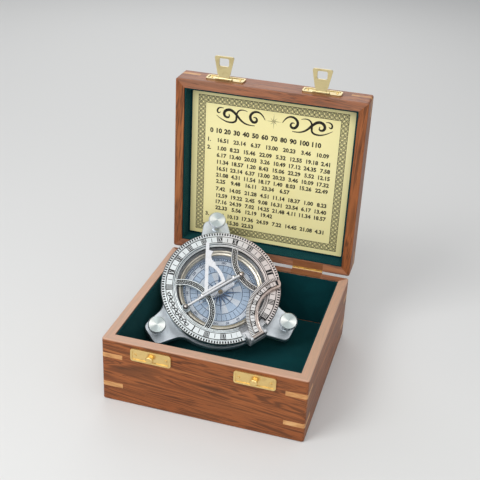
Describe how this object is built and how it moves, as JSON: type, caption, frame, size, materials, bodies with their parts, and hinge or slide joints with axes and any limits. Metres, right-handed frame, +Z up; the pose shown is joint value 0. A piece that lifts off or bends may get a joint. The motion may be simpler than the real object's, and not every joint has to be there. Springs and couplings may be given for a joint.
{
  "type": "boxed sundial compass",
  "caption": "Hinged wooden box with hook latches and velvet lining, holding a folding brass dial compass on a three-lobed base.",
  "frame": {"origin": "centre of the underside of the box, over the bounding box of the open part", "axes": "+X to the right seen from the latches, +Y to the hinged back, +Z up"},
  "size_m": [0.14, 0.1618, 0.2041],
  "materials": {
    "rosewood": "oiled satin with dark grain",
    "light_wood": "satin",
    "velvet": "short pile velvet",
    "printed_brass": "satin sheet, printed",
    "brass": "polished",
    "antique_brass": "antiqued",
    "nickel": "brushed",
    "bright_steel": "conically brushed",
    "antique_silver": "antiqued and engraved",
    "dark_metal": "dark, matt",
    "card": "printed",
    "glass": "clear"
  },
  "bodies": {
    "base": {"base_wall_front": "rosewood", "base_wall_back": "rosewood", "base_wall_left": "rosewood", "base_wall_right": "rosewood", "base_corner_keys": "light_wood", "bottom_panel": "rosewood", "base_floor_lining": "velvet", "base_wall_lining": "velvet", "hinge_base_leaf_left": "brass", "hinge_base_leaf_right": "brass", "hinge_pins": "brass", "base_hinge_screws": "brass", "catch_plate_left": "brass", "catch_plate_right": "brass", "catch_plate_nails": "brass"},
    "lid": {"lid_wall_front": "rosewood", "lid_wall_back": "rosewood", "lid_wall_left": "rosewood", "lid_wall_right": "rosewood", "lid_corner_keys": "light_wood", "lid_panel": "rosewood", "lid_board_lining": "velvet", "lid_wall_lining": "velvet", "placard": "printed_brass", "hinge_lid_leaf_left": "brass", "hinge_lid_leaf_right": "brass", "lid_hinge_screws": "brass", "latch_plate_left": "brass", "latch_plate_right": "brass", "latch_plate_nails": "brass", "hasp_pins": "brass"},
    "hasp_left": {"hasp_left": "brass"},
    "hasp_right": {"hasp_right": "brass"},
    "compass": {"compass_base_plate": "nickel", "dial_drum": "nickel", "compass_capsule": "dark_metal", "compass_card": "card", "needle_pivot": "brass", "compass_glass": "glass", "compass_bezel": "antique_brass", "ring_hinge_pin": "nickel", "arc_hinge_pin": "nickel"},
    "hour_ring": {"hour_ring": "antique_silver", "gnomon_bar": "bright_steel", "bar_knobs": "antique_brass"},
    "gnomon": {"gnomon": "bright_steel"},
    "latitude_arc": {"latitude_arc": "antique_silver"},
    "needle": {"compass_needle": "bright_steel", "needle_cap": "brass"},
    "screw_right": {"levelling_screw_1": "bright_steel"},
    "screw_rear": {"levelling_screw_2": "bright_steel"},
    "screw_left": {"levelling_screw_3": "bright_steel"}
  },
  "joints": [
    {"name": "lid_hinge", "type": "hinge", "parent": "base", "child": "lid", "pos_m": [0, 0.0689, 0.0487], "axis": [-1, 0, 0], "range_deg": [-90, 0]},
    {"name": "hasp_left_hinge", "type": "hinge", "parent": "lid", "child": "hasp_left", "pos_m": [-0.0353, 0.0735, 0.18773], "axis": [-1, 0, 0], "range_deg": [-90, 55]},
    {"name": "hasp_right_hinge", "type": "hinge", "parent": "lid", "child": "hasp_right", "pos_m": [0.0353, 0.0735, 0.18773], "axis": [-1, 0, 0], "range_deg": [-90, 55]},
    {"name": "compass_lay_down", "type": "hinge", "parent": "lid", "child": "compass", "pos_m": [0.00743, 0.05874, 0.07108], "axis": [0.9847, 0.069, -0.16], "range_deg": [-124.65, 0]},
    {"name": "arc_hinge", "type": "hinge", "parent": "compass", "child": "latitude_arc", "pos_m": [0.01741, -0.00622, 0.02942], "axis": [0.6423, 0.7033, 0.3047], "range_deg": [0, 90]},
    {"name": "ring_hinge", "type": "hinge", "parent": "compass", "child": "hour_ring", "pos_m": [0.01218, 0.04854, 0.06141], "axis": [-0.7285, 0.4367, 0.5278], "range_deg": [0, 36]},
    {"name": "gnomon_hinge", "type": "hinge", "parent": "hour_ring", "child": "gnomon", "pos_m": [-0.01337, 0.01431, 0.05446], "axis": [0.6423, 0.7033, 0.3047], "range_deg": [0, 90]},
    {"name": "needle_spin", "type": "hinge", "parent": "compass", "child": "needle", "pos_m": [-0.01613, 0.02082, 0.04526], "axis": [0.2381, -0.561, 0.7928], "continuous": true},
    {"name": "screw_right_turn", "type": "hinge", "parent": "compass", "child": "screw_right", "pos_m": [0.03309, 0.02455, 0.02151], "axis": [0.2381, -0.561, 0.7928], "continuous": true},
    {"name": "screw_rear_turn", "type": "hinge", "parent": "compass", "child": "screw_rear", "pos_m": [-0.03505, 0.06539, 0.07087], "axis": [0.2381, -0.561, 0.7928], "continuous": true},
    {"name": "screw_left_turn", "type": "hinge", "parent": "compass", "child": "screw_left", "pos_m": [-0.053, -0.012, 0.02151], "axis": [0.2381, -0.561, 0.7928], "continuous": true}
  ],
  "couplings": [
    {"joint": "compass_lay_down", "follows": "lid_hinge", "ratio": 1.3849},
    {"joint": "ring_hinge", "follows": "arc_hinge", "ratio": 0.4}
  ]
}
